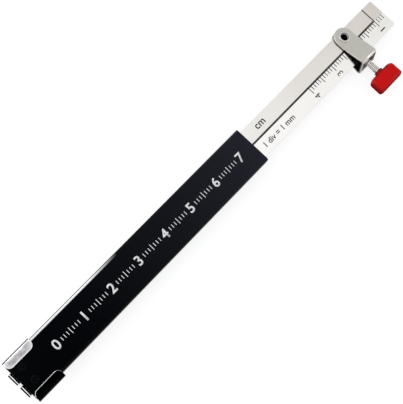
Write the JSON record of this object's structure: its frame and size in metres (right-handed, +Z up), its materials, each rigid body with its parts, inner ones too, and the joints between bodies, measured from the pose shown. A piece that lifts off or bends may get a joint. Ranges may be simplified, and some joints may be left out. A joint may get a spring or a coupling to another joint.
{
  "type": "weld gauge",
  "caption": "High-low weld gauge: sliding steel strips with an etched scale, a clamp with a red thumb screw, and a black sheath with a pocket clip.",
  "frame": {"origin": "centre of the part's box, on the ground under its lowest face, lying on its back", "axes": "+X along the strips towards their tips, +Y across them away from the thumb screw, +Z up out of the scale face"},
  "size_m": [0.1474, 0.0228, 0.0066],
  "materials": {
    "strip_steel": "satin stainless strip",
    "plated_steel": "nickel-plated folded sheet",
    "dark_steel": "dark rolled steel",
    "screw_steel": "plated thread",
    "red_plastic": "moulded gloss red",
    "black_vinyl": "smooth black vinyl",
    "clip_steel": "bright plated spring sheet",
    "black_rivet": "black rivet heads"
  },
  "bodies": {
    "index_body": {"index_blade": "strip_steel", "clamp_bracket": "plated_steel", "hollow_rivet": "dark_steel"},
    "scale_body": {"scale_blade": "strip_steel"},
    "screw_body": {"thumb_screw": "screw_steel", "thumb_grip": "red_plastic"},
    "sheath_body": {"sheath": "black_vinyl", "pocket_clip": "clip_steel", "clip_rivets": "black_rivet"}
  },
  "joints": [
    {"name": "scale_slide", "type": "slide", "parent": "index_body", "child": "scale_body", "axis": [1, 0, 0], "range_m": [-0.003, 0.03]},
    {"name": "screw_turn", "type": "hinge", "parent": "index_body", "child": "screw_body", "pos_m": [0.05883, -0.0018, 0.0034], "axis": [0, 1, 0], "range_deg": [-720, 0]},
    {"name": "sheath_pull", "type": "slide", "parent": "index_body", "child": "sheath_body", "axis": [-1, 0, 0], "range_m": [0, 0.085]}
  ]
}
